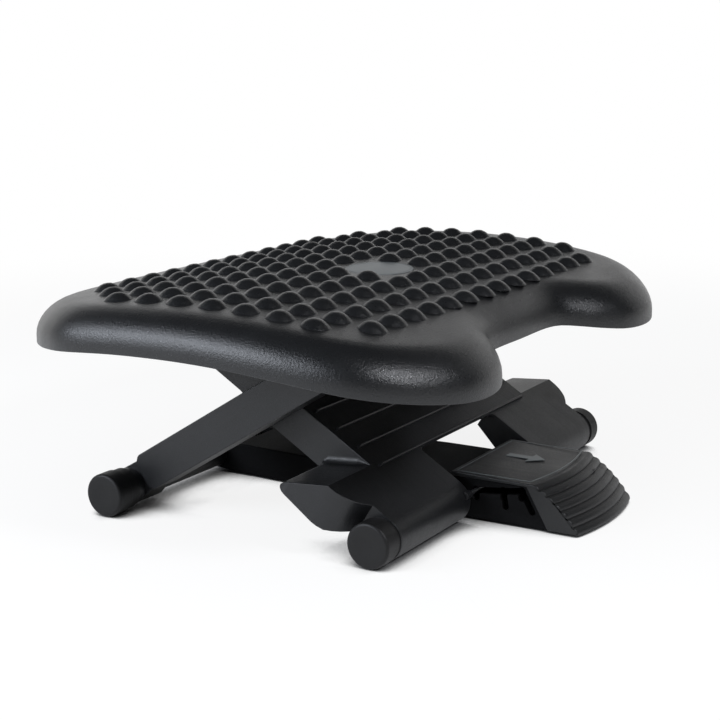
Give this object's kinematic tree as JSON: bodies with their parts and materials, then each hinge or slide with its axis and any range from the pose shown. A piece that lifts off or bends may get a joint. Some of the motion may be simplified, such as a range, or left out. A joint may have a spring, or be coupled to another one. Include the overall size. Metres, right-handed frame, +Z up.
{
  "type": "tilting under desk footrest",
  "caption": "Low black plastic footrest: a tilting platform with massage bumps on crossed folding legs, with a pedal that sets its height.",
  "frame": {"origin": "middle of the footprint at floor level", "axes": "+X to the user's right along the platform's width, +Y away from the user, +Z up; the pedal is on the -Y side"},
  "size_m": [0.4594, 0.4028, 0.168],
  "materials": {
    "platform_plastic": "fine sparkle grain",
    "leg_plastic": "matte grain",
    "rail_plastic": "matte",
    "pedal_plastic": "matte grain",
    "badge_plastic": "satin",
    "foot_rubber": "matte",
    "pad_rubber": "matte",
    "nylon": "smooth",
    "bright_steel": "brushed",
    "black_steel": "satin"
  },
  "bodies": {
    "rear_foot": {"rear_foot_rod": "bright_steel", "rear_foot_cap_left": "foot_rubber", "rear_foot_cap_right": "foot_rubber"},
    "rear_leg": {"rear_leg_frame": "leg_plastic", "scissor_pin_left": "bright_steel", "scissor_pin_right": "bright_steel", "scissor_bush_left": "nylon", "scissor_bush_right": "nylon", "upper_rod_clip_left": "black_steel", "upper_rod_clip_right": "black_steel", "upper_hinge_rod": "bright_steel"},
    "front_leg": {"front_leg_frame": "leg_plastic", "front_foot_rod_left": "bright_steel", "front_foot_rod_right": "bright_steel", "front_foot_cap_left": "foot_rubber", "front_foot_cap_right": "foot_rubber", "slide_roller_left": "nylon", "slide_roller_right": "nylon", "slide_rod": "bright_steel", "latch_pin": "bright_steel"},
    "carriage": {"carriage_cheek_left": "black_steel", "carriage_cheek_right": "black_steel", "carriage_tie_front": "black_steel", "carriage_tie_rear": "black_steel", "tilt_bush_left": "nylon", "tilt_bush_right": "nylon"},
    "platform": {"platform_shell": "platform_plastic", "badge_plate": "badge_plastic", "tilt_axle": "bright_steel", "axle_clamp_left": "rail_plastic", "axle_clamp_right": "rail_plastic", "clamp_screw_left_front": "black_steel", "clamp_screw_left_rear": "black_steel", "clamp_screw_right_front": "black_steel", "clamp_screw_right_rear": "black_steel"},
    "pedal": {"pedal_rail": "rail_plastic", "pedal_cover": "pedal_plastic", "pedal_spring": "bright_steel", "cover_screw_left": "black_steel", "cover_screw_right": "black_steel", "floor_pad_front": "pad_rubber", "floor_pad_middle": "pad_rubber", "floor_pad_rear": "pad_rubber"}
  },
  "joints": [
    {"name": "stand_fold", "type": "hinge", "parent": "rear_foot", "child": "rear_leg", "pos_m": [0, 0.1107, 0.0154], "axis": [1, 0, 0], "range_deg": [0, 19.5]},
    {"name": "leg_crossing", "type": "hinge", "parent": "rear_leg", "child": "front_leg", "pos_m": [0, 0.0038, 0.09017], "axis": [1, 0, 0], "range_deg": [-39, 0]},
    {"name": "carriage_level", "type": "hinge", "parent": "rear_leg", "child": "carriage", "pos_m": [0, -0.04488, 0.12421], "axis": [1, 0, 0], "range_deg": [-19.5, 0]},
    {"name": "platform_tilt", "type": "hinge", "parent": "carriage", "child": "platform", "pos_m": [0, 0.0124, 0.14701], "axis": [-1, 0, 0], "range_deg": [-10, 10]},
    {"name": "pedal_lift", "type": "hinge", "parent": "rear_foot", "child": "pedal", "pos_m": [0, 0.1107, 0.0154], "axis": [-1, 0, 0], "range_deg": [0, 1]}
  ],
  "couplings": [
    {"joint": "leg_crossing", "follows": "stand_fold", "ratio": -2},
    {"joint": "carriage_level", "follows": "stand_fold", "ratio": -1}
  ]
}
